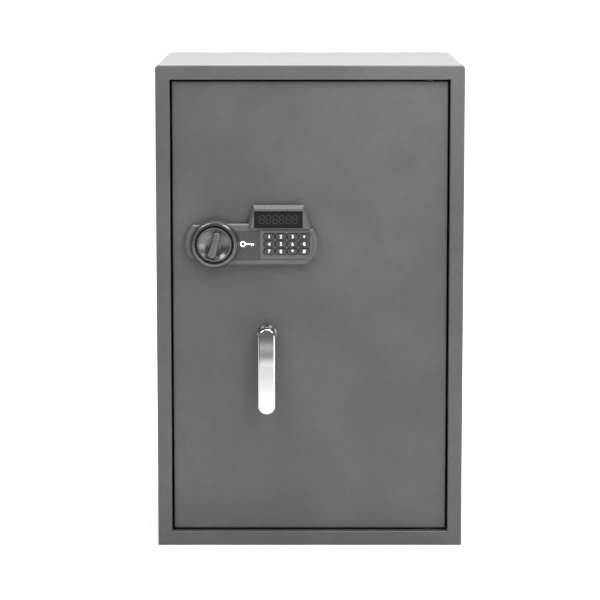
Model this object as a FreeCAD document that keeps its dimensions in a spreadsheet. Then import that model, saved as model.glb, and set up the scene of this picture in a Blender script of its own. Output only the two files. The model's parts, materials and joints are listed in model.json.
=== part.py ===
"""In-room safe: a tall bent-steel safe with one hinged door, a lever that throws three bolts, a keypad
panel with a turning knob, and the lock work behind the door. Millimetres; x to the right seen from the
front, y to the back, z up; the origin is the centre of the floor anchor holes, on the underside."""

import FreeCAD
import Part

import math
import os
import re

import Sketcher
from FreeCAD import Placement, Rotation, Vector

SIZES = [
    # case
    ("width", "430"),
    ("height", "680"),
    ("depth", "370"),
    ("gauge", "2"),
    ("rim", "20"),
    ("ledge_depth", "30"),
    ("top_radius", "5"),
    ("bend_radius", "1.9"),
    ("fold_radius", "1.8"),
    ("anchor_x", "140"),
    ("anchor_y", "100"),
    ("anchor_rise", "200"),
    ("anchor_radius", "6"),
    ("shelf_z", "330"),
    ("front_y", "=-depth / 2"),
    ("back_y", "=depth / 2"),
    ("inner_x", "=width / 2 - gauge"),
    ("mouth_x", "=width / 2 - rim"),
    ("mouth_top", "=height - rim"),
    ("ledge_back_y", "=front_y + ledge_depth"),
    ("shelf_front_y", "=ledge_back_y + 43"),
    # door
    ("door_gap", "2.5"),
    ("door_recess", "11"),
    ("door_gauge", "5"),
    ("cover_depth", "43"),
    ("cover_gauge", "1.5"),
    ("cover_left", "-180"),
    ("cover_right", "185"),
    ("cover_inset", "10"),
    ("hinge_x", "166.5"),
    ("hinge_back", "10"),
    ("pin_radius", "4"),
    ("door_x", "=mouth_x - door_gap"),
    ("door_low", "=rim + door_gap"),
    ("door_high", "=mouth_top - door_gap"),
    ("door_front_y", "=front_y + door_recess"),
    ("door_back_y", "=door_front_y + door_gauge"),
    ("cover_back_y", "=door_back_y + cover_depth"),
    ("cover_inner_y", "=cover_back_y - cover_gauge"),
    ("cover_low", "=door_low + cover_inset"),
    ("cover_high", "=door_high - cover_inset"),
    ("hinge_y", "=door_front_y + hinge_back"),
    # lever and bolt work
    ("lever_x", "-60.5"),
    ("lever_z", "303"),
    ("lever_width", "24.5"),
    ("lever_length", "120.75"),
    ("lever_drop", "2"),
    ("lever_back_y", "-197"),
    ("lever_front_y", "-209.5"),
    ("crown_radius", "900"),
    ("spindle_radius", "5"),
    ("cam_gauge", "5"),
    ("bolt_cam_y", "-150"),
    ("bolt_radius", "10"),
    ("bolt_y", "-142"),
    ("bolt_mid_z", "340"),
    ("bolt_pitch", "220"),
    ("bolt_tip_x", "-190"),
    ("bolt_throw", "18"),
    ("throw_start", "12"),
    ("rail_x", "-150"),
    ("rail_y", "-130"),
    ("rail_gauge", "4"),
    ("rail_half", "250"),
    ("stud_x", "-138"),
    ("stud_rise", "190"),
    # knob and lock
    ("knob_x", "-133.5"),
    ("knob_z", "430.5"),
    ("ring_radius", "33.8"),
    ("dish_radius", "24.3"),
    ("knob_cam_y", "-164"),
    ("lock_throw", "8"),
    ("lock_start", "10"),
    ("lock_width", "10"),
    ("lock_gauge", "8"),
    ("lock_low", "374"),
    ("lock_play", "0.8"),
    ("notch_depth", "4.3"),
    ("notch_half", "2.75"),
    ("solenoid_z", "393"),
    ("plunger_radius", "2"),
    ("comb_front_y", "-159"),
    ("comb_gauge", "10"),
    ("lock_front_y", "=knob_cam_y + cam_gauge + 1"),
    ("plunger_y", "=lock_front_y + lock_gauge / 2"),
    ("case_back_y", "=knob_cam_y + cam_gauge + 11"),
    # panel
    ("panel_y", "-186"),
    ("hood_y", "-191"),
    ("key_x", "-56.9"),
    ("key_z", "420.6"),
    ("key_pitch_x", "16.33"),
    ("key_pitch_z", "10.45"),
    ("key_width", "14.6"),
    ("key_height", "8"),
    ("key_gap", "0.4"),
    ("key_front_y", "=panel_y - 2"),
    ("grip_front_y", "=panel_y - 16.5"),
    ("field_left", "-70.5"),
    ("field_low", "409.3"),
    ("field_high", "450.7"),
    ("field_x", "-24.8"),
    ("field_z", "430.4"),
    ("field_radius", "30.2"),
    ("housing_low", "401.1"),
    ("housing_high", "451.6"),
    ("end_radius", "35.9"),
    ("lug_radius", "41"),
    ("lug_below", "20.5"),
    ("lug_above", "27"),
    ("hood_low", "452.2"),
    ("hood_high", "482.8"),
    ("window_left", "-78"),
    ("window_right", "-10.1"),
    ("window_low", "453.6"),
    ("window_high", "477.6"),
    ("override_x", "-88.3"),
    ("override_z", "428.5"),
    # battery box on the inside of the door
    ("battery_x", "60"),
    ("battery_z", "413.5"),
    ("battery_radius", "7.25"),
    ("battery_length", "50.5"),
    ("tray_x", "31.7"),
    ("tray_z", "30.7"),
    ("tray_wall", "2"),
    ("tray_depth", "24"),
    ("lid_x", "36"),
    ("lid_z", "36.6"),
    ("reset_x", "-30"),
    ("reset_z", "470"),
]
NAMES = {name for name, _ in SIZES}
KNOB_REST_DEG = -15.0
SLOT_PLAY = 0.3
OVERRUN = 5  # how far a cutting block runs past the face it opens

doc = FreeCAD.newDocument("in_room_safe")
sheet = doc.addObject("Spreadsheet::Sheet", "Sizes")
for row, (name, value) in enumerate(SIZES, start=1):
    sheet.set(f"A{row}", name)
    sheet.set(f"B{row}", value)
    sheet.setAlias(f"B{row}", name)
doc.recompute()

nodes = []


def formula(text):
    """A size expression, with each sheet name written as the document refers to it."""
    return re.sub(r"[a-z]\w*", lambda word: "Sizes." + word[0] if word[0] in NAMES else word[0], str(text))


def value(name):
    return float(getattr(sheet, name))


def evaluate(text):
    """The present value of a size expression."""
    return float(sheet.evalExpression(re.sub(r"Sizes\.", "", formula(text))))


def bind(item, **properties):
    for name, text in properties.items():
        item.setExpression(name, formula(text))


def place(item, x, y, z):
    for axis, text in zip("xyz", (x, y, z)):
        item.setExpression(f"Placement.Base.{axis}", formula(text))


def node(label, item):
    """Marks a finished piece, which is written to its own file."""
    item.Label = label
    nodes.append(item)
    return item


def box(x, y, z):
    """A block between (low, high) pairs of expressions."""
    item = doc.addObject("Part::Box", "block")
    bind(
        item,
        Length=f"({x[1]}) - ({x[0]})",
        Width=f"({y[1]}) - ({y[0]})",
        Height=f"({z[1]}) - ({z[0]})",
    )
    place(item, x[0], y[0], z[0])
    return item


TURNS = {
    "x": Rotation(Vector(0, 1, 0), 90),
    "y": Rotation(Vector(1, 0, 0), -90),
    "z": Rotation(),
}


def rod(axis, start, length, radius):
    """A cylinder from its low end along x, y or z."""
    item = doc.addObject("Part::Cylinder", "rod")
    item.Placement = Placement(Vector(), TURNS[axis])
    bind(item, Radius=radius, Height=length)
    place(item, *start)
    return item


def rod_y(x, z, low, high, radius):
    return rod("y", (x, low, z), f"({high}) - ({low})", radius)


def fuse(*items):
    item = doc.addObject("Part::MultiFuse", "joined")
    item.Shapes = list(items)
    item.Refine = True
    return item


def cut(base, *tools):
    item = doc.addObject("Part::Cut", "cut")
    item.Base = base
    item.Tool = tools[0] if len(tools) == 1 else fuse(*tools)
    item.Refine = True
    return item


def common(*items):
    item = doc.addObject("Part::MultiCommon", "common")
    item.Shapes = list(items)
    item.Refine = True
    return item


def group(*items):
    """Separate solids kept as one piece of a kind, such as a set of screws."""
    item = doc.addObject("Part::Compound", "group")
    item.Links = list(items)
    return item


def rounded(kind, base, radius, wanted):
    """Fillets or chamfers the edges for which wanted(edge bounding box, edge) holds."""
    doc.recompute()
    item = doc.addObject(f"Part::{kind}", kind.lower())
    item.Base = base
    chosen = [n for n, edge in enumerate(base.Shape.Edges, start=1) if wanted(edge.BoundBox, edge)]
    item.Edges = [(n, radius, radius) for n in chosen]
    return item


def fillet(base, radius, wanted):
    return rounded("Fillet", base, radius, wanted)


def chamfer(base, radius, wanted):
    return rounded("Chamfer", base, radius, wanted)


def along(axis, low=1.0):
    """True for a straight edge that runs along one axis."""
    spans = {"x": "XLength", "y": "YLength", "z": "ZLength"}

    def wanted(bounds, _edge):
        others = [getattr(bounds, span) for key, span in spans.items() if key != axis]
        return max(others) < 1e-4 and getattr(bounds, spans[axis]) > low

    return wanted


def in_plane_y(y):
    return lambda bounds, _edge: abs(bounds.YMin - y) < 1e-3 and abs(bounds.YMax - y) < 1e-3


def body(start):
    item = doc.addObject("PartDesign::Body", "body")
    place(item, *start)
    return item


def sketch(owner, role, loops, offset=0):
    """Polygons, as lists of points, and circles, as (x, y, radius), on one of the body's own planes."""
    item = owner.newObject("Sketcher::SketchObject", "outline")
    plane = [feature for feature in owner.Origin.OriginFeatures if feature.Role == role][0]
    item.AttachmentSupport = [(plane, "")]
    item.MapMode = "FlatFace"
    item.setExpression("AttachmentOffset.Base.z", formula(offset))

    def tie(kind, index, spot, text):
        number = item.addConstraint(Sketcher.Constraint(kind, -1, 1, index, spot, evaluate(text)))
        item.setExpression(f"Constraints[{number}]", formula(text))

    for loop in loops:
        first = item.GeometryCount
        if isinstance(loop, tuple):
            x, y, radius = loop
            centre = Vector(evaluate(x), evaluate(y), 0)
            item.addGeometry(Part.Circle(centre, Vector(0, 0, 1), evaluate(radius)))
            tie("DistanceX", first, 3, x)
            tie("DistanceY", first, 3, y)
            number = item.addConstraint(Sketcher.Constraint("Radius", first, evaluate(radius)))
            item.setExpression(f"Constraints[{number}]", formula(radius))
            continue
        count = len(loop)
        points = [Vector(evaluate(x), evaluate(y), 0) for x, y in loop]
        for n in range(count):
            item.addGeometry(Part.LineSegment(points[n], points[(n + 1) % count]))
        for n in range(count):
            following = first + (n + 1) % count
            item.addConstraint(Sketcher.Constraint("Coincident", first + n, 2, following, 1))
        for n, (x, y) in enumerate(loop):
            tie("DistanceX", first + n, 1, x)
            tie("DistanceY", first + n, 1, y)
    return item


def pad_y(front, back, *loops):
    """A plate whose outline, in x and z, runs from y = front back to y = back."""
    owner = body((0, 0, 0))
    feature = owner.newObject("PartDesign::Pad", "pad")
    feature.Profile = sketch(owner, "XZ_Plane", loops, f"-({back})")
    bind(feature, Length=f"({back}) - ({front})")
    return owner


def turned(x, z, profile):
    """A piece turned about an axis along y, from (radius, y) points."""
    owner = body((x, 0, z))
    feature = owner.newObject("PartDesign::Revolution", "turning")
    feature.Profile = sketch(owner, "XY_Plane", [profile])
    axis = [item for item in owner.Origin.OriginFeatures if item.Role == "Y_Axis"][0]
    feature.ReferenceAxis = (axis, [""])
    feature.Angle = 360
    return owner


def spiral_slot(first_deg, start, throw, half_width, front, thickness):
    """A slot about the y axis whose radius grows evenly from start, by throw, over a quarter turn back."""
    rate = throw / (math.pi / 2)
    steps = 24
    outer = []
    inner = []
    for step in range(steps + 1):
        angle = math.radians(first_deg) - math.pi / 2 * step / steps
        radius = start + throw * step / steps
        radial = Vector(math.cos(angle), 0, math.sin(angle))
        sideways = Vector(math.sin(angle), 0, -math.cos(angle))
        direction = radial * rate + sideways * radius
        normal = Vector(-direction.z, 0, direction.x).normalize()
        spot = radial * radius + Vector(0, front, 0)
        outer.append(spot + normal * half_width)
        inner.append(spot - normal * half_width)
        if step in (0, steps):
            cap = spot + direction.normalize() * half_width * (1 if step else -1)
            if step:
                last_cap = cap
            else:
                first_cap = cap
    one_side = Part.BSplineCurve()
    one_side.interpolate(outer)
    other_side = Part.BSplineCurve()
    other_side.interpolate(inner[::-1])
    edges = [
        one_side.toShape(),
        Part.Arc(outer[-1], last_cap, inner[-1]).toShape(),
        other_side.toShape(),
        Part.Arc(inner[0], first_cap, outer[0]).toShape(),
    ]
    return Part.Face(Part.Wire(edges)).extrude(Vector(0, thickness, 0))


def spiral_cam(x, z, front, outer, bore, first_deg, start, throw, pin_radius):
    """A disc with a spiral slot: no primitive has that curve, so its shape is computed."""
    thickness = value("cam_gauge")
    along_y = Vector(0, 1, 0)
    disc = Part.makeCylinder(outer, thickness, Vector(0, front, 0), along_y)
    hole = Part.makeCylinder(bore, thickness, Vector(0, front, 0), along_y)
    slot = spiral_slot(first_deg, start, throw, pin_radius + SLOT_PLAY, front, thickness)
    item = doc.addObject("Part::Feature", "cam")
    item.Shape = disc.cut([hole, slot])
    place(item, x, 0, z)
    return item


def screw_y(x, z, head_y, head_radius, head, tip_y, radius):
    """A round-head screw along y: the head lies from head_y towards +y for a tip in front of it."""
    return fuse(
        rod_y(x, z, head_y, f"({head_y}) + {head}", head_radius),
        rod_y(x, z, tip_y, head_y, radius),
    )


# ---------------------------------------------------------------- case
shell = box(("-width / 2", "width / 2"), ("front_y", "back_y"), ("0", "height"))
shell = fillet(shell, value("top_radius"), lambda b, e: along("y")(b, e) and b.ZMin > value("height") - 1)
shell = fillet(shell, value("bend_radius"), in_plane_y(value("front_y")))
inside = box(
    ("-inner_x", "inner_x"), ("front_y + gauge", f"back_y + {OVERRUN}"), (-OVERRUN, "height - gauge")
)
inside = fillet(
    inside,
    value("top_radius") - value("gauge"),
    lambda b, e: along("y")(b, e) and b.ZMin > value("height") - 3,
)
mouth = box(("-mouth_x", "mouth_x"), (f"front_y - {OVERRUN}", "0"), ("rim", "mouth_top"))
ledge = box(
    ("-mouth_x - gauge", "mouth_x + gauge"),
    ("front_y + gauge / 2", "ledge_back_y"),
    ("rim - gauge", "mouth_top + gauge"),
)
spigots = rod("z", ("hinge_x", "hinge_y", "rim - gauge"), "height - 2 * rim + 2 * gauge", 6)
wrap = cut(fuse(cut(shell, inside), ledge), mouth, spigots)
node(
    "body_wrap",
    fillet(
        wrap,
        value("fold_radius"),
        lambda b, e: in_plane_y(value("front_y"))(b, e)
        and max(abs(b.XMin), abs(b.XMax)) < value("mouth_x") + 1e-3
        and b.ZMin > value("rim") - 1e-3,
    ),
)

base = box(("-inner_x", "inner_x"), ("front_y + gauge", "back_y - gauge"), ("0", "gauge"))
anchors = [
    rod("z", (f"{sx} * anchor_x", f"{sy} * anchor_y", "-1"), "gauge + 8", "anchor_radius")
    for sx in (-1, 1)
    for sy in (-1, 1)
]
node("base_panel", cut(base, *anchors))

back = pad_y(
    "back_y - gauge",
    "back_y",
    [("-inner_x", "0"), ("inner_x", "0"), ("inner_x", "height - gauge"), ("-inner_x", "height - gauge")],
    *[
        (f"{sx} * anchor_x", f"height / 2 + {sz} * anchor_rise", "anchor_radius")
        for sx in (-1, 1)
        for sz in (-1, 1)
    ],
)
node("back_panel", back)

strike = box(
    ("-mouth_x - gauge - 4", "-mouth_x - gauge"), ("front_y + 5", "ledge_back_y"), ("60", "height - 60")
)
node("strike_bar", fillet(strike, 1.0, along("z", 100)))


def hinge_bush(face, outward):
    """A flanged bush pressed through the ledge, bored for a running fit on the hinge pin."""
    low = f"({face}) + gauge" if outward > 0 else f"({face}) - gauge - 12"
    neck = face if outward > 0 else f"({face}) - gauge"
    flange = rod("z", ("hinge_x", "hinge_y", low), 12, 9)
    spigot = rod("z", ("hinge_x", "hinge_y", neck), "gauge", 6)
    bore = rod("z", ("hinge_x", "hinge_y", f"({face}) - 20"), 40, "pin_radius + 0.05")
    return cut(fuse(flange, spigot), bore)


node("hinge_bushes", group(hinge_bush("mouth_top", 1), hinge_bush("rim", -1)))


def washer(low):
    disc = rod("z", ("hinge_x", "hinge_y", low), "door_gap - 0.2", 8)
    return cut(disc, rod("z", ("hinge_x", "hinge_y", f"({low}) - 1"), "door_gap + 2", "pin_radius + 0.3"))


node("thrust_washers", group(washer("rim"), washer("door_high + 0.2")))

shelf = fuse(
    box(("-inner_x + 2.5", "inner_x - 2.5"), ("shelf_front_y", "back_y - 6"), ("shelf_z", "shelf_z + gauge")),
    box(
        ("-inner_x + 22", "inner_x - 22"),
        ("shelf_front_y", "shelf_front_y + gauge"),
        ("shelf_z - 16", "shelf_z + gauge"),
    ),
)
node(
    "shelf",
    fillet(
        shelf,
        1.5,
        lambda b, e: along("x", 300)(b, e)
        and b.YMin < value("shelf_front_y") + 0.1
        and b.ZMin > value("shelf_z") + 1,
    ),
)


def shelf_rail(side):
    wall = "-inner_x" if side < 0 else "inner_x"
    outer = (wall, f"{wall} + gauge") if side < 0 else (f"{wall} - gauge", wall)
    tread = (wall, f"{wall} + 20") if side < 0 else (f"{wall} - 20", wall)
    span = ("shelf_front_y + 4", "back_y - 6")
    upright = box(outer, span, ("shelf_z - 20", "shelf_z"))
    return fuse(upright, box(tread, span, ("shelf_z - gauge", "shelf_z")))


node("shelf_rails", group(shelf_rail(-1), shelf_rail(1)))

mat = box(("-inner_x + 8", "inner_x - 8"), ("ledge_back_y + 6", "back_y - 8"), ("gauge", "gauge + 3"))
mat = fillet(mat, 12, along("z"))
ribs = [
    box(
        ("-inner_x + 20", "inner_x - 20"),
        (f"ledge_back_y + {18 + 12 * n}", f"ledge_back_y + {21 + 12 * n}"),
        ("gauge + 2.2", "gauge + 5"),
    )
    for n in range(26)
]
clear = [
    rod("z", (f"{sx} * anchor_x", f"{sy} * anchor_y", "gauge - 1"), 8, "anchor_radius + 6")
    for sx in (-1, 1)
    for sy in (-1, 1)
]
node("floor_mat", cut(mat, *ribs, *clear))

# ---------------------------------------------------------------- door
SCREWS = [("override_x - 5.7", "453.5"), ("override_x + 8.3", "404.6"), ("5.4", "430"), ("-159.5", "knob_z")]
plate = pad_y(
    "door_front_y",
    "door_back_y",
    [("-door_x", "door_low"), ("door_x", "door_low"), ("door_x", "door_high"), ("-door_x", "door_high")],
    ("lever_x", "lever_z", 8),
    ("knob_x", "knob_z", "pin_radius + 0.5"),
    ("override_x", "override_z", 9.8),
    ("-40", "430", 8),
    *[(x, z, 2) for x, z in SCREWS],
)
node(
    "door_plate",
    fillet(
        plate,
        1.2,
        lambda b, e: in_plane_y(value("door_front_y"))(b, e) and max(b.XLength, b.ZLength) > 100,
    ),
)

node(
    "panel_screws",
    group(*[screw_y(x, z, "door_back_y", 3.4, 2.4, "panel_y + 5.5", 2) for x, z in SCREWS]),
)

POSTS = [(-90, 60), (160, 60), (160, 340), (160, 620), (-90, 620), (-40, 520)]
posts = [
    cut(
        rod_y(x, z, "door_back_y", "cover_inner_y", 5),
        rod_y(x, z, "cover_inner_y - 14", "cover_inner_y", 2.5),
    )
    for x, z in POSTS
]
node("cover_posts", group(*posts))


def cover_screw(x, z):
    recess = box(
        (f"{x} - 0.6", f"{x} + 0.6"), ("cover_back_y + 1.4", "cover_back_y + 3"), (f"{z} - 3", f"{z} + 3")
    )
    head = screw_y(x, z, "cover_back_y", 4.5, 2.2, "cover_inner_y - 12", 2.5)
    return cut(head, recess)


node("cover_screws", group(*[cover_screw(x, z) for x, z in POSTS]))

cover = box(("cover_left", "cover_right"), ("door_back_y", "cover_back_y"), ("cover_low", "cover_high"))
cover = fillet(cover, 3.0, lambda b, e: in_plane_y(value("cover_back_y"))(b, e) or along("y")(b, e))
hollow = box(
    ("cover_left + cover_gauge", "cover_right - cover_gauge"),
    (f"door_back_y - {OVERRUN}", "cover_inner_y"),
    ("cover_low + cover_gauge", "cover_high - cover_gauge"),
)
hollow = fillet(hollow, 1.5, lambda b, e: in_plane_y(value("cover_inner_y"))(b, e) or along("y")(b, e))
bolt_holes = [
    rod("x", ("cover_left - 5", "bolt_y", f"bolt_mid_z + {n} * bolt_pitch"), 10, "bolt_radius + 0.4")
    for n in (-1, 0, 1)
]
battery_mouth = box(
    ("battery_x - tray_x - 0.3", "battery_x + tray_x + 0.3"),
    ("cover_inner_y - 1", "cover_back_y + 1"),
    ("battery_z - tray_z - 0.3", "battery_z + tray_z + 0.3"),
)
tracks = [
    fuse(
        box(
            ("battery_x - 38", "battery_x + 105"),
            ("cover_back_y - 0.5", "cover_back_y + 3.4"),
            (f"battery_z + {low}", f"battery_z + {low + 2}"),
        ),
        box(
            ("battery_x - 38", "battery_x + 105"),
            ("cover_back_y + 2.4", "cover_back_y + 3.4"),
            (f"battery_z + {lip}", f"battery_z + {lip + 5}"),
        ),
    )
    for low, lip in ((37, 34), (-39, -39))
]
cover = cut(
    fuse(cut(cover, hollow), *tracks),
    *bolt_holes,
    battery_mouth,
    rod_y("reset_x", "reset_z", "cover_inner_y - 1", "cover_back_y + 1", 3.5),
    *[rod_y(x, z, "cover_inner_y - 1", "cover_back_y + 1", 2.5) for x, z in POSTS],
)
node("inner_cover", cover)

hinge_span = ("hinge_x - 12", "hinge_x + 12")
low_block = box(hinge_span, ("door_back_y", "hinge_y + 14"), ("door_low", "cover_low - 0.2"))
high_block = box(hinge_span, ("door_back_y", "hinge_y + 14"), ("cover_high + 0.2", "door_high"))
pin_bore = rod("z", ("hinge_x", "hinge_y", "0"), "height", "pin_radius")
node("hinge_blocks", group(cut(low_block, pin_bore), cut(high_block, pin_bore)))
# each pin is fixed in its block and turns in the bush in the ledge
low_pin = rod("z", ("hinge_x", "hinge_y", "rim - gauge - 11"), "gauge + 11 + door_gap + 9.8", "pin_radius")
high_pin = rod("z", ("hinge_x", "hinge_y", "door_high - 9.8"), "9.8 + door_gap + gauge + 11", "pin_radius")
node(
    "hinge_pins",
    group(
        chamfer(low_pin, 0.8, lambda b, e: b.ZLength < 1e-3 and b.ZMin < value("rim") / 2),
        chamfer(high_pin, 0.8, lambda b, e: b.ZLength < 1e-3 and b.ZMax > value("height") - value("rim") / 2),
    ),
)

# ---------------------------------------------------------------- lever and bolt work
node(
    "lever_bush",
    turned(
        "lever_x",
        "lever_z",
        [
            ("spindle_radius + 0.05", "lever_back_y + 0.4"),
            ("11.2", "lever_back_y + 0.4"),
            ("11.7", "lever_back_y + 0.9"),
            ("11.7", "door_front_y - 2"),
            ("14", "door_front_y - 1.2"),
            ("14", "door_front_y"),
            ("8", "door_front_y"),
            ("8", "door_back_y"),
            ("12", "door_back_y"),
            ("12", "door_back_y + 6"),
            ("spindle_radius + 0.05", "door_back_y + 6"),
        ],
    ),
)

half = "lever_width / 2"
head_z = "lever_z - lever_drop"
low_end = f"{head_z} + lever_width / 2 - lever_length"
grip_outline = fuse(
    box(
        (f"lever_x - {half}", f"lever_x + {half}"),
        ("lever_front_y", "lever_back_y"),
        (f"{low_end} + {half}", head_z),
    ),
    rod_y("lever_x", head_z, "lever_front_y", "lever_back_y", half),
    rod_y("lever_x", f"{low_end} + {half}", "lever_front_y", "lever_back_y", half),
)
side_owner = body(("lever_x - 20", 0, 0))
side_pad = side_owner.newObject("PartDesign::Pad", "pad")
side_pad.Profile = sketch(
    side_owner,
    "YZ_Plane",
    [
        [
            ("lever_front_y - 1", f"{low_end} - 1"),
            ("lever_back_y - 4", f"{low_end} - 1"),
            ("lever_back_y - 4", "lever_z - 30"),
            ("lever_back_y", "lever_z - 17"),
            ("lever_back_y", "lever_z + 20"),
            ("lever_front_y - 1", "lever_z + 20"),
        ]
    ],
)
bind(side_pad, Length=40)
crown = rod("x", ("lever_x - 20", "lever_front_y + crown_radius", f"{low_end} + 12"), 40, "crown_radius")
lever = common(grip_outline, side_owner, crown)
lever = fillet(
    lever,
    2.6,
    lambda b, e: b.YMin < value("lever_front_y") + 6.6
    and b.YMax < value("lever_back_y") - 3
    and b.ZLength > 2,
)
lever_hole = rod_y("lever_x", "lever_z", "lever_back_y - 3.5", "lever_back_y", "spindle_radius")
node("lever_handle", cut(lever, lever_hole))

spindle = rod_y("lever_x", "lever_z", "lever_back_y - 3.5", "bolt_cam_y + cam_gauge + 5", "spindle_radius")
spindle_end = evaluate("bolt_cam_y + cam_gauge")
node("lever_spindle", chamfer(spindle, 0.8, lambda b, e: b.YLength < 1e-3 and b.YMin > spindle_end))

node(
    "bolt_cam",
    spiral_cam(
        "lever_x",
        "lever_z",
        value("bolt_cam_y"),
        value("throw_start") + value("bolt_throw") + 9,
        value("spindle_radius"),
        180,
        value("throw_start"),
        value("bolt_throw"),
        3.0,
    ),
)

hexagon = [
    (
        f"lever_x + {9 * math.cos(math.radians(60 * n)):.4f}",
        f"lever_z + {9 * math.sin(math.radians(60 * n)):.4f}",
    )
    for n in range(6)
]
nut = pad_y(
    "bolt_cam_y + cam_gauge", "bolt_cam_y + cam_gauge + 4", hexagon, ("lever_x", "lever_z", "spindle_radius")
)
node("cam_nut", nut)

BOLTS = (-1, 0, 1)
bolts = []
screws = []
for n in BOLTS:
    z = f"bolt_mid_z + {n} * bolt_pitch"
    bar = rod("x", ("bolt_tip_x", "bolt_y", z), "rail_x - bolt_tip_x", "bolt_radius")
    bar = chamfer(bar, 1.6, lambda b, e: b.XLength < 1e-3 and b.XMax < value("bolt_tip_x") + 1)
    bolts.append(cut(bar, rod("x", ("rail_x - 16", "bolt_y", z), 16, 4)))
    shank = rod("x", ("rail_x - 14", "bolt_y", z), "14 + rail_gauge", 4)
    head = rod("x", ("rail_x + rail_gauge", "bolt_y", z), 4, 6.5)
    socket = rod("x", ("rail_x + rail_gauge + 2", "bolt_y", z), 4, 2.5)
    screws.append(cut(fuse(shank, head), socket))
node("locking_bolts", group(*bolts))
node("bolt_screws", group(*screws))

rail_low = "bolt_mid_z - rail_half"
rail_high = "bolt_mid_z + rail_half"
guide_slots = []
for n in (-1, 1):
    z = f"bolt_mid_z + {n} * stud_rise"
    guide_slots += [
        rod_y("stud_x", z, "rail_y - 6", "rail_y + 2", 3.8),
        rod_y("stud_x + bolt_throw", z, "rail_y - 6", "rail_y + 2", 3.8),
        box(("stud_x", "stud_x + bolt_throw"), ("rail_y - 6", "rail_y + 2"), (f"{z} - 3.8", f"{z} + 3.8")),
    ]
carriage = fuse(
    box(("rail_x", "rail_x + rail_gauge"), ("bolt_y - 12", "rail_y"), (rail_low, rail_high)),
    box(("rail_x", "rail_x + 40"), ("rail_y - rail_gauge", "rail_y"), (rail_low, rail_high)),
    box(
        ("rail_x + 30", "lever_x - 3.5"),
        ("rail_y - rail_gauge", "rail_y"),
        ("lever_z - 10", "lever_z + 10"),
    ),
)
carriage = cut(
    carriage,
    *guide_slots,
    *[
        rod("x", ("rail_x - 2", "bolt_y", f"bolt_mid_z + {n} * bolt_pitch"), "rail_gauge + 4", 4)
        for n in BOLTS
    ],
    box(("rail_x - 1", "rail_x + rail_gauge + 1"), ("-156", "-146"), ("lock_low - 1", "lock_low + 101")),
    rod_y("lever_x - throw_start", "lever_z", "rail_y - 6", "rail_y + 2", 3),
)
node("bolt_carriage", carriage)

# the latch drops into one slot of the comb with the bolts out, and into the other with them back
comb = box(
    ("rail_x + rail_gauge", "knob_x + bolt_throw + 11"),
    ("comb_front_y", "comb_front_y + comb_gauge"),
    ("lock_low - 24", "lock_low - 2"),
)
comb_slots = [
    box(
        (
            f"knob_x - lock_width / 2 - lock_play + {n} * bolt_throw",
            f"knob_x + lock_width / 2 + lock_play + {n} * bolt_throw",
        ),
        ("comb_front_y - 1", "comb_front_y + comb_gauge + 1"),
        ("lock_low - lock_throw - 4", "lock_low"),
    )
    for n in (0, 1)
]
node("latch_comb", cut(comb, *comb_slots))
node("cam_pin", rod_y("lever_x - throw_start", "lever_z", "bolt_cam_y - 1", "rail_y", 3))

studs = []
for n in (-1, 1):
    z = f"bolt_mid_z + {n} * stud_rise"
    studs.append(
        turned(
            "stud_x",
            z,
            [
                ("0", "door_back_y"),
                ("6", "door_back_y"),
                ("6", "rail_y - rail_gauge - 0.4"),
                ("3.5", "rail_y - rail_gauge - 0.4"),
                ("3.5", "rail_y + 0.4"),
                ("6", "rail_y + 0.4"),
                ("6", "rail_y + 1.9"),
                ("0", "rail_y + 1.9"),
            ],
        )
    )
node("guide_studs", group(*studs))

# ---------------------------------------------------------------- knob and lock
node(
    "bezel_ring",
    turned(
        "knob_x",
        "knob_z",
        [
            ("dish_radius + 0.5", "panel_y"),
            ("ring_radius", "panel_y"),
            ("ring_radius", "panel_y - 4.5"),
            ("ring_radius - 0.7", "panel_y - 6.2"),
            ("ring_radius - 2.6", "panel_y - 8.8"),
            ("ring_radius - 3.3", "panel_y - 9.2"),
            ("ring_radius - 3.6", "panel_y - 8.7"),
            ("ring_radius - 4.1", "panel_y - 8.7"),
            ("ring_radius - 4.4", "panel_y - 9.4"),
            ("ring_radius - 6.1", "panel_y - 9.6"),
            ("ring_radius - 6.6", "panel_y - 9.1"),
            ("dish_radius + 1.2", "panel_y - 5.2"),
            ("dish_radius + 0.5", "panel_y - 4.4"),
        ],
    ),
)

dish = turned(
    "knob_x",
    "knob_z",
    [
        ("0", "panel_y - 0.8"),
        ("dish_radius", "panel_y - 0.8"),
        ("dish_radius", "panel_y - 6.4"),
        ("dish_radius - 0.5", "panel_y - 6.9"),
        ("dish_radius - 1.9", "panel_y - 6.9"),
        ("dish_radius - 2.2", "panel_y - 6.4"),
        ("dish_radius - 2.6", "panel_y - 6.4"),
        ("dish_radius - 4.3", "panel_y - 5.5"),
        ("dish_radius - 7.3", "panel_y - 4.3"),
        ("dish_radius - 10.8", "panel_y - 3.3"),
        ("dish_radius - 14.8", "panel_y - 2.6"),
        ("dish_radius - 19.3", "panel_y - 2.3"),
        ("0", "panel_y - 2.2"),
    ],
)
grip = fuse(
    pad_y(
        "grip_front_y",
        "panel_y - 2",
        [
            ("knob_x - 5.7", "knob_z - 12.8"),
            ("knob_x + 5.7", "knob_z - 12.8"),
            ("knob_x + 4.25", "knob_z + 14.2"),
            ("knob_x - 4.25", "knob_z + 14.2"),
        ],
    ),
    rod_y("knob_x", "knob_z - 12.5", "grip_front_y", "panel_y - 2", 5.72),
    rod_y("knob_x", "knob_z + 14.1", "grip_front_y", "panel_y - 2", 4.26),
)
grip = fillet(grip, 1.6, in_plane_y(value("grip_front_y")))
groove = box(
    ("knob_x - 1.5", "knob_x + 1.5"),
    ("grip_front_y - 1.5", "grip_front_y + 0.8"),
    ("knob_z - 13", "knob_z + 14"),
)
hub = rod_y("knob_x", "knob_z", "panel_y - 0.8", "door_front_y - 1", 6)
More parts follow.
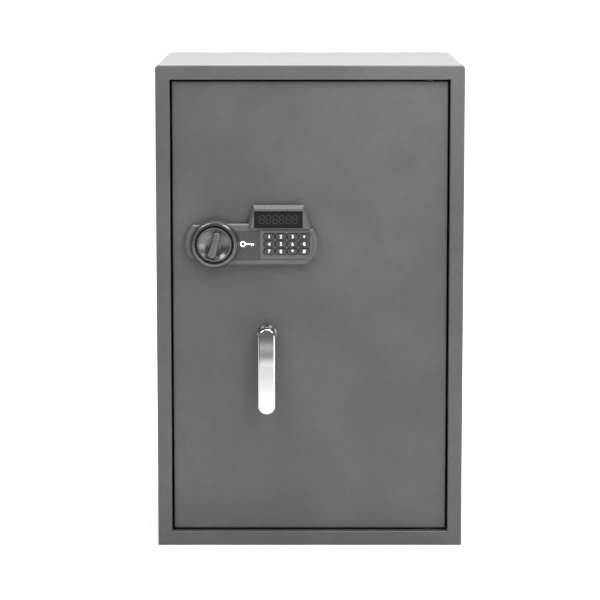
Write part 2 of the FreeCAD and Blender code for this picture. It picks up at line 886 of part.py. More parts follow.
socket = rod_y("knob_x", "knob_z", "panel_y - 1", "door_front_y", "pin_radius")
knob = cut(fuse(dish, grip, hub), fillet(groove, 1.2, along("y")), socket)
turned_knob = doc.addObject("Part::Feature", "turned_knob")
doc.recompute()
shape = knob.Shape.copy()
shape.rotate(Vector(value("knob_x"), 0, value("knob_z")), Vector(0, -1, 0), KNOB_REST_DEG)
turned_knob.Shape = shape
node("control_knob", turned_knob)

node("knob_spindle", rod_y("knob_x", "knob_z", "panel_y - 1", "knob_cam_y + cam_gauge + 1", "pin_radius"))
node(
    "knob_cam",
    spiral_cam(
        "knob_x",
        "knob_z",
        value("knob_cam_y"),
        value("lock_start") + value("lock_throw") + 5.5,
        value("pin_radius"),
        270,
        value("lock_start"),
        value("lock_throw"),
        2.0,
    ),
)

# the plunger enters the upper or the lower notch in the latch's side, and holds it there
latch = box(
    ("knob_x - lock_width / 2", "knob_x + lock_width / 2"),
    ("lock_front_y", "lock_front_y + lock_gauge"),
    ("lock_low", "knob_z - lock_start + 5.5"),
)
notches = [
    box(
        ("knob_x + lock_width / 2 - notch_depth", "knob_x + lock_width / 2 + 1"),
        ("lock_front_y - 1", "lock_front_y + lock_gauge + 1"),
        (
            f"solenoid_z + {n} * lock_throw - notch_half",
            f"solenoid_z + {n} * lock_throw + notch_half",
        ),
    )
    for n in (0, 1)
]
pin_hole = rod_y("knob_x", "knob_z - lock_start", "lock_front_y", "plunger_y", 2)
node("lock_bolt", cut(fillet(latch, 1.0, along("y")), *notches, pin_hole))
node("lock_bolt_pin", rod_y("knob_x", "knob_z - lock_start", "knob_cam_y - 1.5", "plunger_y", 2))

lock_case = box(
    ("knob_x - 31.5", "knob_x + 31.5"), ("door_back_y", "case_back_y"), ("lock_low + 2", "knob_z + 41.5")
)
case_hollow = box(
    ("knob_x - 30", "knob_x + 30"),
    ("door_back_y - 1", "case_back_y - 1.5"),
    ("lock_low + 3.5", "knob_z + 40"),
)
latch_way = box(
    ("knob_x - lock_width / 2 - 0.4", "knob_x + lock_width / 2 + 0.4"),
    ("lock_front_y - 0.4", "lock_front_y + lock_gauge + 0.4"),
    ("lock_low", "lock_low + 5"),
)
node("lock_case", cut(lock_case, case_hollow, latch_way))

coil = box(
    ("knob_x + 9.5", "knob_x + 29.5"),
    ("knob_cam_y + 1", "case_back_y - 1.5"),
    ("solenoid_z - 10", "solenoid_z + 10"),
)
coil_bore = rod("x", ("knob_x + 9", "plunger_y", "solenoid_z"), 16, "plunger_radius + 0.4")
node("solenoid_body", cut(fillet(coil, 1.5, along("x")), coil_bore))
plunger = rod("x", ("knob_x + lock_width / 2 + 0.5", "plunger_y", "solenoid_z"), 18, "plunger_radius")
node("solenoid_plunger", plunger)

# ---------------------------------------------------------------- panel
def raised(*corners):
    return pad_y("panel_y", "door_front_y", list(corners))


strips = [
    raised(
        ("knob_x", "housing_low"),
        ("-5.4", "housing_low"),
        ("4.8", "housing_low + 10.2"),
        ("4.8", "housing_high"),
        ("knob_x", "housing_high"),
    ),
    raised(("knob_x", "430"), ("-60", "430"), ("-60", "459"), ("knob_x", "459")),
    raised(("-91.5", "440"), ("5.5", "440"), ("-7.9", "hood_high + 2.2"), ("-79.3", "hood_high + 2.2")),
    common(
        rod_y("field_x", "field_z", "panel_y", "door_front_y", "end_radius"),
        box(("-10", "20"), ("panel_y", "door_front_y"), ("housing_low + 8.5", "housing_high")),
    ),
    common(
        rod_y("knob_x", "knob_z", "panel_y", "door_front_y", "lug_radius"),
        box(
            ("knob_x - lug_radius - 4", "knob_x"),
            ("panel_y", "door_front_y"),
            ("knob_z - lug_below", "knob_z + lug_above"),
        ),
    ),
    rod_y("knob_x", "knob_z", "panel_y", "door_front_y", "ring_radius - 0.3"),
]
housing = fuse(*[chamfer(strip, 1.8, in_plane_y(value("panel_y"))) for strip in strips])
hood = pad_y(
    "hood_y",
    "panel_y",
    [("-84.6", "hood_low"), ("0.4", "hood_low"), ("-9.4", "hood_high"), ("-78.2", "hood_high")],
)
hood = chamfer(hood, 1.6, in_plane_y(value("hood_y")))

KEYS = [
    ["key_7", "key_8", "key_9", "key_hash"],
    ["key_4", "key_5", "key_6", "key_0"],
    ["key_1", "key_2", "key_3", "key_star"],
]


def key_block(column, row, grow, front, back):
    """A rounded block on one key's centre, larger than the key by grow all round."""
    x = f"key_x + {column} * key_pitch_x"
    z = f"key_z + {row} * key_pitch_z"
    block = box(
        (f"{x} - key_width / 2 - {grow}", f"{x} + key_width / 2 + {grow}"),
        (front, back),
        (f"{z} - key_height / 2 - {grow}", f"{z} + key_height / 2 + {grow}"),
    )
    return fillet(block, 2.5 + evaluate(grow), along("y"))


def key_holes(front, back):
    return [key_block(column, row, "key_gap", front, back) for row in range(3) for column in range(4)]


hollows = [
    box(("-72", "0"), ("door_front_y - 7", "door_front_y + 1"), ("404", "450")),
    box(("-78", "-10"), ("door_front_y - 7", "door_front_y + 1"), ("447", "478.5")),
]
screw_holes = [rod_y(x, z, "panel_y + 5.5", "door_front_y + 1", 2) for x, z in SCREWS]


def key_field(play, front, back):
    """The plate round the keys, straight on the left and round on the right, larger by play all round."""
    return common(
        box((f"field_left - {play}", "9"), (front, back), (f"field_low - {play}", f"field_high + {play}")),
        fuse(
            box(("field_left - 5", "field_x"), (front, back), ("field_low - 7", "field_high + 7")),
            rod_y("field_x", "field_z", front, back, f"field_radius + {play}"),
        ),
    )


PEGS = [("override_x", "override_z + 15.5"), ("override_x + 1", "override_z - 15.5")]
badge_sides = ("override_x - 17.4", "override_x + 17.4")
badge_ends = ("407.9", "449.2")
housing = cut(
    fuse(housing, hood),
    *hollows,
    *screw_holes,
    key_field(0.3, "panel_y - 1", "panel_y + 1.2"),
    *key_holes("panel_y - 1", "door_front_y - 6"),
    box(badge_sides, ("panel_y - 1", "panel_y + 1.2"), badge_ends),
    *[rod_y(x, z, "panel_y", "panel_y + 5", 1.8) for x, z in PEGS],
    rod_y("override_x", "override_z", "panel_y", "door_front_y + 1", 9.7),
    box(("window_left", "window_right"), ("hood_y - 1", "panel_y - 1.2"), ("window_low", "window_high")),
    box(
        ("window_left + 3", "window_right - 2.9"),
        ("hood_y - 1", "door_front_y"),
        ("window_low + 2.2", "window_high - 2.3"),
    ),
    rod_y("knob_x", "knob_z", "panel_y - 1", "door_front_y + 1", 6.4),
)
node("panel_housing", housing)

field_plate = cut(key_field(0, "panel_y + 0.2", "panel_y + 1.2"), *key_holes("panel_y - 1", "panel_y + 3"))
node("keypad_plate", chamfer(field_plate, 0.35, in_plane_y(value("panel_y") + 0.2)))

for row, names in enumerate(KEYS):
    for column, name in enumerate(names):
        cap = key_block(column, row, "0", "key_front_y", "door_front_y - 7.6")
        node(name, fillet(cap, 0.7, in_plane_y(value("key_front_y"))))

node(
    "display_window",
    box(
        ("window_left + 0.3", "window_right - 0.3"),
        ("panel_y - 2.6", "panel_y - 1.2"),
        ("window_low + 0.3", "window_high - 0.3"),
    ),
)
node(
    "display_module",
    box(
        ("window_left + 4", "window_right - 3.9"),
        ("panel_y - 1.2", "door_front_y - 5.6"),
        ("window_low + 3.2", "window_high - 3.3"),
    ),
)
board = fuse(
    box(("-71", "-1.5"), ("door_front_y - 5.6", "door_front_y - 4"), ("405", "448")),
    box(("-76", "-12"), ("door_front_y - 5.6", "door_front_y - 4"), ("447", "477")),
)
chips = [
    box((f"{x}", f"{x + dx}"), ("door_front_y - 4", f"door_front_y - {4 - dy}"), (f"{z}", f"{z + dz}"))
    for x, dx, z, dz, dy in ((-66, 12, 456, 12, 2), (-36, 8, 462, 6, 1.5), (-62, 7, 414, 12, 2.5))
]
node("circuit_board", fuse(board, *chips))

cylinder = rod_y("override_x", "override_z", "panel_y + 1.6", "door_back_y + 9", 9.5)
node(
    "override_cylinder",
    cut(cylinder, rod_y("override_x", "override_z", "panel_y", "door_back_y + 10", 6.05)),
)
plug = fuse(
    rod_y("override_x", "override_z", "panel_y + 1.6", "door_back_y + 10", 6),
    box(
        ("override_x - 3", "override_x + 13"),
        ("door_back_y + 10", "door_back_y + 11.5"),
        ("override_z - 3.5", "override_z + 3.5"),
    ),
)
keyway = box(
    ("override_x - 1", "override_x + 1"), ("panel_y", "door_back_y"), ("override_z - 4", "override_z + 4")
)
node("override_plug", cut(plug, keyway))

badge = cut(
    box(
        ("override_x - 17.1", "override_x + 17.1"),
        ("panel_y", "panel_y + 1.2"),
        ("408.2", "448.9"),
    ),
    rod_y("knob_x", "knob_z", "panel_y - 5", "panel_y + 5", "ring_radius + 0.4"),
)
pegs = [rod_y(x, z, "panel_y + 1", "panel_y + 4", 1.5) for x, z in PEGS]
node("override_cover", fuse(fillet(badge, 0.4, in_plane_y(value("panel_y"))), *pegs))

# ---------------------------------------------------------------- battery box and reset button
tray = box(
    ("battery_x - tray_x", "battery_x + tray_x"),
    ("cover_back_y - tray_depth", "cover_back_y"),
    ("battery_z - tray_z", "battery_z + tray_z"),
)
tray_hollow = box(
    ("battery_x - tray_x + tray_wall", "battery_x + tray_x - tray_wall"),
    ("cover_back_y - tray_depth + tray_wall", "cover_back_y + 1"),
    ("battery_z - tray_z + 1.5", "battery_z + tray_z - 1.5"),
)
node("battery_box", cut(tray, tray_hollow))

cells = []
for n in range(4):
    z = f"battery_z + {n - 1.5} * 2 * battery_radius"
    y = "cover_back_y - tray_depth + tray_wall + battery_radius"
    start = ("battery_x - battery_length / 2", y, z)
    barrel = rod("x", start, "battery_length - 1.2", "battery_radius - 0.1")
    barrel = fillet(barrel, 0.6, lambda b, e: b.XLength < 1e-3)
    knub = rod("x", ("battery_x + battery_length / 2 - 1.2", y, z), 1.2, 2.75)
    cells.append(fuse(barrel, knub))
node("batteries", group(*cells))

lid = box(
    ("battery_x - lid_x", "battery_x + lid_x"),
    ("cover_back_y + 0.3", "cover_back_y + 2"),
    ("battery_z - lid_z", "battery_z + lid_z"),
)
lid_ribs = [
    box(
        (f"battery_x + {14 + 3 * n}", f"battery_x + {15.4 + 3 * n}"),
        ("cover_back_y + 1.5", "cover_back_y + 2.8"),
        ("battery_z - 14", "battery_z + 14"),
    )
    for n in range(6)
]
node("battery_cover", fuse(lid, *lid_ribs))

button = rod_y("reset_x", "reset_z", "cover_back_y - 6", "cover_back_y + 2.6", 3.1)
button_end = evaluate("cover_back_y + 1")
node("reset_button", fillet(button, 0.6, lambda b, e: b.YLength < 1e-3 and b.YMin > button_end))

# ---------------------------------------------------------------- export
doc.recompute()
for item in doc.Objects:
    for state in item.State:
        if state in ("Invalid", "Error"):
            raise RuntimeError(f"{item.Label}: {state}")
os.makedirs("parts", exist_ok=True)
for item in nodes:
    shape = item.Shape
    if shape.isNull() or not shape.isValid() or not shape.Solids:
        raise RuntimeError(f"{item.Label} has no valid solid")
    shape.exportStep(f"parts/{item.Label}.step")
print(len(nodes), "pieces")
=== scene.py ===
import json
import math

import bmesh
import bpy
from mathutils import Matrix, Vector


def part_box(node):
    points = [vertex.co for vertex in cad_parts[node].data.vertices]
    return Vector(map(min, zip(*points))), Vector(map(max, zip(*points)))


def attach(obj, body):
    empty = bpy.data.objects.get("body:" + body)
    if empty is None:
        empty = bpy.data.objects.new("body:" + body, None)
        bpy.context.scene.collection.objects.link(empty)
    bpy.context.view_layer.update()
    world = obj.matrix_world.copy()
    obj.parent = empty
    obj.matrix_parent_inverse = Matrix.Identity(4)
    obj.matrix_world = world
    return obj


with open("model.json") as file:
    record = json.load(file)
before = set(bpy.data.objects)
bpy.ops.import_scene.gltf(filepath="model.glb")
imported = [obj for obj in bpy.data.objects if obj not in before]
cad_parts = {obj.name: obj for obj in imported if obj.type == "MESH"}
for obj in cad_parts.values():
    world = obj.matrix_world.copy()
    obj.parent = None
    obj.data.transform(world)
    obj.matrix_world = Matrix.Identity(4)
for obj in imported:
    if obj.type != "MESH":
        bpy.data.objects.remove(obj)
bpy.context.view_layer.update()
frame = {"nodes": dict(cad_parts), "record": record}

record = frame["record"]
nodes = frame["nodes"]
MM = 0.001


# ---------------------------------------------------------------- materials
def shader(name, color, rough, metal=0.0, specular=0.5):
    """A new material: its node tree, its Principled shader and the object's own coordinates."""
    material = bpy.data.materials.new(name)
    material.use_nodes = True
    tree = material.node_tree
    principled = tree.nodes["Principled BSDF"]
    principled.inputs["Base Color"].default_value = (*color, 1)
    principled.inputs["Roughness"].default_value = rough
    principled.inputs["Metallic"].default_value = metal
    principled.inputs["Specular IOR Level"].default_value = specular
    return material, tree, principled, tree.nodes.new("ShaderNodeTexCoord").outputs["Object"]


def noise(tree, coords, scale, detail=3.0, stretch=None):
    node = tree.nodes.new("ShaderNodeTexNoise")
    node.inputs["Scale"].default_value = scale
    node.inputs["Detail"].default_value = detail
    if stretch:
        mapping = tree.nodes.new("ShaderNodeMapping")
        mapping.inputs["Scale"].default_value = stretch
        tree.links.new(coords, mapping.inputs["Vector"])
        coords = mapping.outputs["Vector"]
    tree.links.new(coords, node.inputs["Vector"])
    return node.outputs["Fac"]


def remap(tree, value, low, high, start=0.3, end=0.7):
    node = tree.nodes.new("ShaderNodeMapRange")
    for name, number in (("From Min", start), ("From Max", end), ("To Min", low), ("To Max", high)):
        node.inputs[name].default_value = number
    tree.links.new(value, node.inputs["Value"])
    return node.outputs["Result"]


def shades(tree, value, dark, light, start=0.3, end=0.7):
    """A colour that runs from dark to light as value goes from start to end."""
    ramp = tree.nodes.new("ShaderNodeValToRGB")
    ramp.color_ramp.elements[0].position = start
    ramp.color_ramp.elements[0].color = (*dark, 1)
    ramp.color_ramp.elements[1].position = end
    ramp.color_ramp.elements[1].color = (*light, 1)
    tree.links.new(value, ramp.inputs["Fac"])
    return ramp.outputs["Color"]


def product(tree, first, second):
    node = tree.nodes.new("ShaderNodeMix")
    node.data_type = "RGBA"
    node.blend_type = "MULTIPLY"
    node.inputs["Factor"].default_value = 1.0
    tree.links.new(first, node.inputs["A"])
    tree.links.new(second, node.inputs["B"])
    return node.outputs["Result"]


def bump(tree, principled, height, strength, distance):
    node = tree.nodes.new("ShaderNodeBump")
    node.inputs["Strength"].default_value = strength
    node.inputs["Distance"].default_value = distance
    tree.links.new(height, node.inputs["Height"])
    tree.links.new(node.outputs["Normal"], principled.inputs["Normal"])


def times(color, factor):
    return tuple(c * factor for c in color)


WHITE = (1.0, 1.0, 1.0)
# noise scales count the features in a metre, and the depths are the darkest share of the colour
PAINT_PEBBLES, PAINT_MOTTLE, PAINT_POLISH, PAINT_PATCHES, PAINT_CLOUDS = 900.0, 495.0, 360.0, 85.0, 8.0
PATCH_DEPTH, CLOUD_DEPTH = 0.91, 0.72
PEBBLE_HEIGHT, PEBBLE_STRENGTH = 0.12 * MM, 0.35


def coated(name, color, rough):
    """Powder coat: a fine pebbled skin, two finenesses of mottle and broad cloudiness."""
    material, tree, principled, coords = shader(name, color, rough)
    mottle = shades(tree, noise(tree, coords, PAINT_MOTTLE, 2.0), times(color, 0.88), times(color, 1.12))
    broad = shades(tree, noise(tree, coords, PAINT_CLOUDS), times(WHITE, CLOUD_DEPTH), WHITE)
    patches = shades(tree, noise(tree, coords, PAINT_PATCHES, 2.0), times(WHITE, PATCH_DEPTH), WHITE)
    cloudy = product(tree, product(tree, mottle, broad), patches)
    tree.links.new(cloudy, principled.inputs["Base Color"])
    uneven = remap(tree, noise(tree, coords, PAINT_POLISH), rough - 0.05, rough + 0.06)
    tree.links.new(uneven, principled.inputs["Roughness"])
    bump(tree, principled, noise(tree, coords, PAINT_PEBBLES), PEBBLE_STRENGTH, PEBBLE_HEIGHT)
    return material


PLASTIC_SHADES, PLASTIC_POLISH, PLASTIC_GRAIN_HEIGHT = 60.0, 420.0, 0.03 * MM


def moulded(name, color, rough, grain=2600.0, strength=0.25, specular=0.5, metal=0.0):
    """Moulded plastic or rubber: a fine grain and a slight change of shade; metal adds a metallic coat."""
    material, tree, principled, coords = shader(name, color, rough, metal, specular)
    shade = shades(tree, noise(tree, coords, PLASTIC_SHADES), times(color, 0.94), times(color, 1.06))
    tree.links.new(shade, principled.inputs["Base Color"])
    uneven = remap(tree, noise(tree, coords, PLASTIC_POLISH), rough - 0.05, rough + 0.05)
    tree.links.new(uneven, principled.inputs["Roughness"])
    bump(tree, principled, noise(tree, coords, grain, 2.0), strength, PLASTIC_GRAIN_HEIGHT)
    return material


METAL_SHADES = 45.0


def plated(name, color, rough, stretch=(1.0, 1.0, 1.0), scale=900.0, relief=0.01 * MM, strength=0.15):
    """Bare or plated metal: fine lines where it is brushed or turned, and an uneven polish."""
    material, tree, principled, coords = shader(name, color, rough, metal=1.0)
    shade = shades(tree, noise(tree, coords, METAL_SHADES, 4.0), times(color, 0.93), color)
    tree.links.new(shade, principled.inputs["Base Color"])
    lines = noise(tree, coords, scale, stretch=stretch)
    tree.links.new(remap(tree, lines, rough * 0.75, rough * 1.3), principled.inputs["Roughness"])
    bump(tree, principled, lines, strength, relief)
    return material


CASE = (0.062, 0.0622, 0.0630)
PANEL = (0.062, 0.0624, 0.0637)
slots = {
    "gunmetal_paint": coated("gunmetal_paint", CASE, 0.38),
    "panel_plastic": moulded("panel_plastic", PANEL, 0.30, strength=0.08),
    "knob_plastic": moulded("knob_plastic", (0.125, 0.126, 0.129), 0.21, 2200.0, 0.05, metal=0.85),
    "badge_plastic": moulded("badge_plastic", (0.030, 0.0303, 0.0312), 0.30),
    "chrome": plated("chrome", (0.62, 0.62, 0.63), 0.06, (1, 1, 0.06), 1500.0, 0.002 * MM, 0.04),
    "key_rubber": moulded("key_rubber", (0.024, 0.024, 0.026), 0.30),
    "smoked_window": moulded("smoked_window", (0.008, 0.0084, 0.009), 0.22, 900.0, 0.02, 0.12),
    "zinc_steel": plated("zinc_steel", (0.60, 0.60, 0.58), 0.32, (0.15, 1, 1)),
    "black_plastic": moulded("black_plastic", (0.022, 0.022, 0.023), 0.45),
    "board_green": moulded("board_green", (0.015, 0.075, 0.035), 0.35),
    "cell_wrap": moulded("cell_wrap", (0.10, 0.10, 0.11), 0.25),
    "mat_rubber": moulded("mat_rubber", (0.03, 0.03, 0.031), 0.75, 1500.0, 0.5),
    "brass": plated("brass", (0.70, 0.52, 0.24), 0.24),
    "red_plastic": moulded("red_plastic", (0.40, 0.02, 0.02), 0.28),
}
legend_white = moulded("legend_white", (0.78, 0.78, 0.77), 0.45, 1800.0, 0.1)
ghost_grey = moulded("ghost_grey", (0.022, 0.0225, 0.024), 0.4, 1800.0, 0.05, 0.2)

for entry in record["subparts"]:
    mesh = nodes[entry["node"]].data
    mesh.materials.clear()
    mesh.materials.append(slots[entry["material_slot"]])


# ---------------------------------------------------------------- new pieces
def add_object(name, data):
    added = bpy.data.objects.new(name, data)
    bpy.context.scene.collection.objects.link(added)
    return added


def add_piece(name, material):
    """An empty mesh object, and its bmesh to fill."""
    mesh = bpy.data.meshes.new(name)
    mesh.materials.append(material)
    return add_object(name, mesh), bmesh.new()


def finish_piece(piece, work, body):
    bmesh.ops.recalc_face_normals(work, faces=work.faces)
    work.to_mesh(piece.data)
    work.free()
    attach(piece, body)


def skin(work, loops):
    """The faces between each closed loop of points and the next one."""
    for low, high in zip(loops, loops[1:]):
        for n in range(len(low)):
            after = (n + 1) % len(low)
            work.faces.new((low[n], low[after], high[after], high[n]))


PLATE_EDGE_START, PLATE_FRONT_SIZE = 0.6, 0.985


def front_plate(work, outline, y, thick):
    """A flat raised shape facing -y from an outline of (x, z) points; its front edge is drawn in a little."""
    centre = Vector((sum(x for x, _ in outline), 0, sum(z for _, z in outline))) / len(outline)
    rings = []
    for depth, draw in ((0.0, 1.0), (thick * PLATE_EDGE_START, 1.0), (thick, PLATE_FRONT_SIZE)):
        ring = [
            work.verts.new((centre.x + (x - centre.x) * draw, y - depth, centre.z + (z - centre.z) * draw))
            for x, z in outline
        ]
        rings.append(ring)
    skin(work, rings)
    work.faces.new(rings[-1])
    work.faces.new(rings[0][::-1])


def ring_plate(work, x, z, outer, inner, y, thick, steps=40):
    """A flat ring facing -y."""
    turns = [2 * math.pi * n / steps for n in range(steps)]
    loops = []
    for radius, depth in ((inner, 0.0), (inner, thick), (outer, thick), (outer, 0.0)):
        points = [(x + radius * math.cos(a), y - depth, z + radius * math.sin(a)) for a in turns]
        loops.append([work.verts.new(point) for point in points])
    skin(work, [*loops, loops[0]])


def front_middle(node):
    """The middle of the node's box in x and z, at its front in y."""
    low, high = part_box(node)
    return Vector(((low[0] + high[0]) / 2, low[1], (low[2] + high[2]) / 2))


# the keys' signs are thin raised letters, set 0.02 mm into the keys' faces
SIGN_SIZE, SIGN_THICK, SIGN_BOLD, SIGN_LIFT = 6.7 * MM, 0.04 * MM, 0.14 * MM, 0.02 * MM
LEGENDS = {f"key_{digit}": str(digit) for digit in range(10)}
LEGENDS["key_star"] = "*"
LEGENDS["key_hash"] = "#"
for node_name, sign in LEGENDS.items():
    face = front_middle(node_name)
    text = bpy.data.curves.new("sign", "FONT")
    text.body = sign
    text.size = SIGN_SIZE
    text.extrude = SIGN_THICK
    text.offset = SIGN_BOLD
    text.resolution_u = 6
    drawn = add_object("sign", text)
    bpy.context.view_layer.update()
    mesh = bpy.data.meshes.new_from_object(drawn.evaluated_get(bpy.context.evaluated_depsgraph_get()))
    bpy.data.objects.remove(drawn)
    xs = [v.co.x for v in mesh.vertices]
    ys = [v.co.y for v in mesh.vertices]
    shift_x, shift_y = (min(xs) + max(xs)) / 2, (min(ys) + max(ys)) / 2
    for v in mesh.vertices:
        v.co = (face.x + v.co.x - shift_x, face.y - SIGN_LIFT - v.co.z, face.z + v.co.y - shift_y)
    mesh.materials.clear()
    mesh.materials.append(legend_white)
    legend = add_object(node_name + "_legend", mesh)
    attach(legend, node_name + "_cap")

# the badge plate's plain key symbol: a ring for its bow, then the shank with two teeth
SYMBOL_RISE, SYMBOL_LEFT, SYMBOL_THICK = 2.3 * MM, 9.5 * MM, 0.12 * MM
BOW_OUTER, BOW_INNER, SHANK_START = 4.2 * MM, 2.1 * MM, 8.2 * MM
SHANK_OUTLINE_MM = (
    (0, -0.9), (7.2, -0.9), (7.2, -3.0), (8.7, -3.0), (8.7, -0.9), (9.9, -0.9), (9.9, -2.4),
    (11.3, -2.4), (11.3, 0.9), (0, 0.9),
)
face = front_middle("override_cover")
symbol, work = add_piece("badge_symbol", legend_white)
left, mid_z = face.x - SYMBOL_LEFT, face.z + SYMBOL_RISE
ring_plate(work, left + BOW_OUTER, mid_z, BOW_OUTER, BOW_INNER, face.y, SYMBOL_THICK)
shank = [(left + SHANK_START + x * MM, mid_z + z * MM) for x, z in SHANK_OUTLINE_MM]
front_plate(work, shank, face.y, SYMBOL_THICK)
finish_piece(symbol, work, "cover_badge")

# the display's unlit segments, a very thin print on its smoked face
DIGITS, DIGIT_PITCH, DIGIT_TALL, DIGIT_WIDE = 6, 9.2 * MM, 11.0 * MM, 6.2 * MM
BAR_WIDE, BAR_GAP, BAR_THICK, LEAN = 1.15 * MM, 0.35 * MM, 0.03 * MM, 0.12
face = front_middle("display_window")
segments, work = add_piece("display_segments", ghost_grey)


def segment(work, x, z, length, upright):
    """One bar of a leaning digit, pointed at both ends."""
    half, tip = BAR_WIDE / 2, length / 2 - BAR_GAP
    right = [(tip - half, half), (tip, 0), (tip - half, -half)]
    points = [(-tip, 0), (-tip + half, half), *right, (-tip + half, -half)]
    if upright:
        points = [(b, a) for a, b in points]
    placed = [(x + a + LEAN * (z - face.z + b), z + b) for a, b in points]
    front_plate(work, placed, face.y, BAR_THICK)


for n in range(DIGITS):
    x = face.x + (n - (DIGITS - 1) / 2) * DIGIT_PITCH
    for level in (-1, 0, 1):
        segment(work, x, face.z + level * DIGIT_TALL / 2, DIGIT_WIDE, False)
    for side in (-1, 1):
        for level in (-1, 1):
            segment(work, x + side * DIGIT_WIDE / 2, face.z + level * DIGIT_TALL / 4, DIGIT_TALL / 2, True)
finish_piece(segments, work, "door")


# ---------------------------------------------------------------- small edge rounding
def round_edges(names, width):
    """Small rounded edges, which catch the light."""
    for name in names:
        rounding = nodes[name].modifiers.new("edges", "BEVEL")
        rounding.width = width
        rounding.segments = 2
        rounding.limit_method = "ANGLE"
        rounding.angle_limit = math.radians(30)
        rounding.use_clamp_overlap = True


SHEET_PIECES = (
    "base_panel", "back_panel", "strike_bar", "shelf", "shelf_rails", "floor_mat", "inner_cover",
    "hinge_blocks", "battery_box", "battery_cover", "lock_case", "bolt_carriage", "latch_comb",
    "keypad_plate", "display_module", "circuit_board", "override_cover",
)
MOULDED_PIECES = ("panel_housing", "bezel_ring", "control_knob")
SHEET_EDGE, MOULDED_EDGE = 0.25 * MM, 0.5 * MM
round_edges(SHEET_PIECES, SHEET_EDGE)
round_edges(MOULDED_PIECES, MOULDED_EDGE)

# ---------------------------------------------------------------- floor, light and camera
FLOOR_FRONT, FLOOR_BACK, FLOOR_SIDE = -5.5, 30.0, 30.0
FLOOR_SHADE, FLOOR_PATCHES = 0.84, 3.0
floor_material, tree, principled, coords = shader("floor_pale", times(WHITE, FLOOR_SHADE), 0.8, specular=0.2)
uneven = noise(tree, coords, FLOOR_PATCHES, 2.0)
pale = shades(tree, uneven, times(WHITE, FLOOR_SHADE - 0.01), times(WHITE, FLOOR_SHADE + 0.01))
tree.links.new(pale, principled.inputs["Base Color"])
floor, work = add_piece("floor", floor_material)
corners = (
    (-FLOOR_SIDE, FLOOR_FRONT),
    (FLOOR_SIDE, FLOOR_FRONT),
    (FLOOR_SIDE, FLOOR_BACK),
    (-FLOOR_SIDE, FLOOR_BACK),
)
work.faces.new([work.verts.new((x, y, 0)) for x, y in corners])
work.to_mesh(floor.data)
work.free()

scene = bpy.context.scene
world = bpy.data.worlds.new("studio")
scene.world = world
world.use_nodes = True
tree = world.node_tree
background = tree.nodes["Background"]
background.inputs["Strength"].default_value = 1.0
direction = tree.nodes.new("ShaderNodeTexCoord").outputs["Generated"]
split = tree.nodes.new("ShaderNodeSeparateXYZ")
tree.links.new(direction, split.inputs["Vector"])
sideways, depth, height = (split.outputs[axis] for axis in "XYZ")


def math_node(operation, *items):
    """One arithmetic step, on numbers and on other nodes' results."""
    node = tree.nodes.new("ShaderNodeMath")
    node.operation = operation
    for socket, item in zip(node.inputs, items):
        if isinstance(item, (int, float)):
            socket.default_value = item
        else:
            tree.links.new(item, socket)
    return node.outputs["Value"]


# the world's light: dimmer in front of the safe, bright and even behind it
FRONT_LEVEL, BACK_LEVEL = 0.20, 2.2
SURROUND_CHANGES = (-0.2, 0.8)
surround = remap(tree, depth, FRONT_LEVEL, BACK_LEVEL, *SURROUND_CHANGES)
# the far end of the studio, straight in front at the height of the horizon: from below upwards the
# pale floor ends, then comes a paler strip of wall, then a dark opening; each band is the height of
# its direction, and its brightness
BAND_LOW, BAND_HIGH = -0.06, 0.14
BANDS = ((-0.045, 1.55), (-0.005, 0.38), (0.021, 0.72), (0.052, 0.2), (0.09, 0.22), (0.13, 0.25))
bands = tree.nodes.new("ShaderNodeValToRGB")
bands.color_ramp.interpolation = "EASE"
stops = bands.color_ramp.elements
while len(stops) < len(BANDS):
    stops.new(0.5)
for stop, (rise, brightness) in zip(stops, BANDS):
    stop.position = (rise - BAND_LOW) / (BAND_HIGH - BAND_LOW)
    stop.color = (*times(WHITE, brightness), 1)
tree.links.new(remap(tree, height, 0.0, 1.0, BAND_LOW, BAND_HIGH), bands.inputs["Fac"])
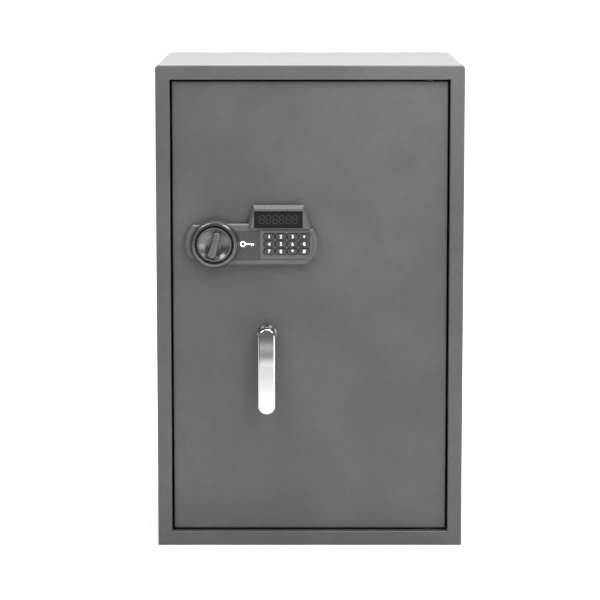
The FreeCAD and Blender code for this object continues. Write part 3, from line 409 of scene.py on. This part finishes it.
# the bands fade out to both sides, above and below, and there are none behind the safe
SIDE_FADE, LEVEL_FADE, FRONT_FADE = (0.12, 0.25), (0.08, 0.11), (-0.9, -0.8)
off_side = math_node("ABSOLUTE", sideways)
beside = remap(tree, off_side, 1.0, 0.0, *SIDE_FADE)
off_level = math_node("ABSOLUTE", math_node("SUBTRACT", height, (BAND_LOW + BAND_HIGH) / 2))
near_level = remap(tree, off_level, 1.0, 0.0, *LEVEL_FADE)
in_front = remap(tree, depth, 1.0, 0.0, *FRONT_FADE)
share = math_node("MULTIPLY", math_node("MULTIPLY", beside, near_level), in_front)
change = math_node("MULTIPLY", share, math_node("SUBTRACT", bands.outputs["Color"], surround))
level = math_node("ADD", surround, change)
tree.links.new(level, background.inputs["Color"])


def area(name, spot, target, size, watts):
    """A rectangular softbox at a spot, facing its target."""
    lamp = bpy.data.lights.new(name, "AREA")
    lamp.shape = "RECTANGLE"
    lamp.size, lamp.size_y = size
    lamp.energy = watts
    lamp_object = add_object(name, lamp)
    lamp_object.location = spot
    lamp_object.rotation_mode = "QUATERNION"
    lamp_object.rotation_quaternion = (Vector(target) - Vector(spot)).to_track_quat("-Z", "Y")


area("overhead", (0.3, 0.6, 3.0), (0, 0.2, 0.5), (3.0, 2.4), 45)
area("left_box", (-0.85, -1.34, 1.28), (-0.05, -0.18, 0.5), (0.5, 0.5), 7.5)
area("right_box", (0.62, -1.34, 1.30), (0.10, -0.18, 0.55), (0.5, 0.5), 10.0)
area("upper_left", (-0.44, -0.62, 1.04), (-0.14, -0.17, 0.62), (0.3, 0.3), 2.6)
area("upper_right", (0.34, -0.58, 1.06), (0.14, -0.17, 0.64), (0.4, 0.3), 5.0)
area("low_fill", (1.6, -2.4, 0.4), (0.05, -0.18, 0.08), (1.9, 0.7), 14.0)
soft_sun = bpy.data.lights.new("soft_sun", "SUN")
soft_sun.energy = 2.1
soft_sun.angle = math.radians(40)
soft_sun_object = add_object("soft_sun", soft_sun)
soft_sun_object.rotation_euler = (math.radians(8), math.radians(6), 0)

LOOKS_DOWN = 7.755  # degrees below level
camera_data = bpy.data.cameras.new("camera")
camera_data.lens = 155.7
camera_data.shift_y = -0.04
camera_data.sensor_width = 36
camera = add_object("camera", camera_data)
camera.location = (-0.0139, -3.785, 0.8759)
camera.rotation_euler = (math.radians(90 - LOOKS_DOWN), 0, 0)
scene.camera = camera
scene.view_settings.view_transform = "Standard"
scene.view_settings.look = "None"
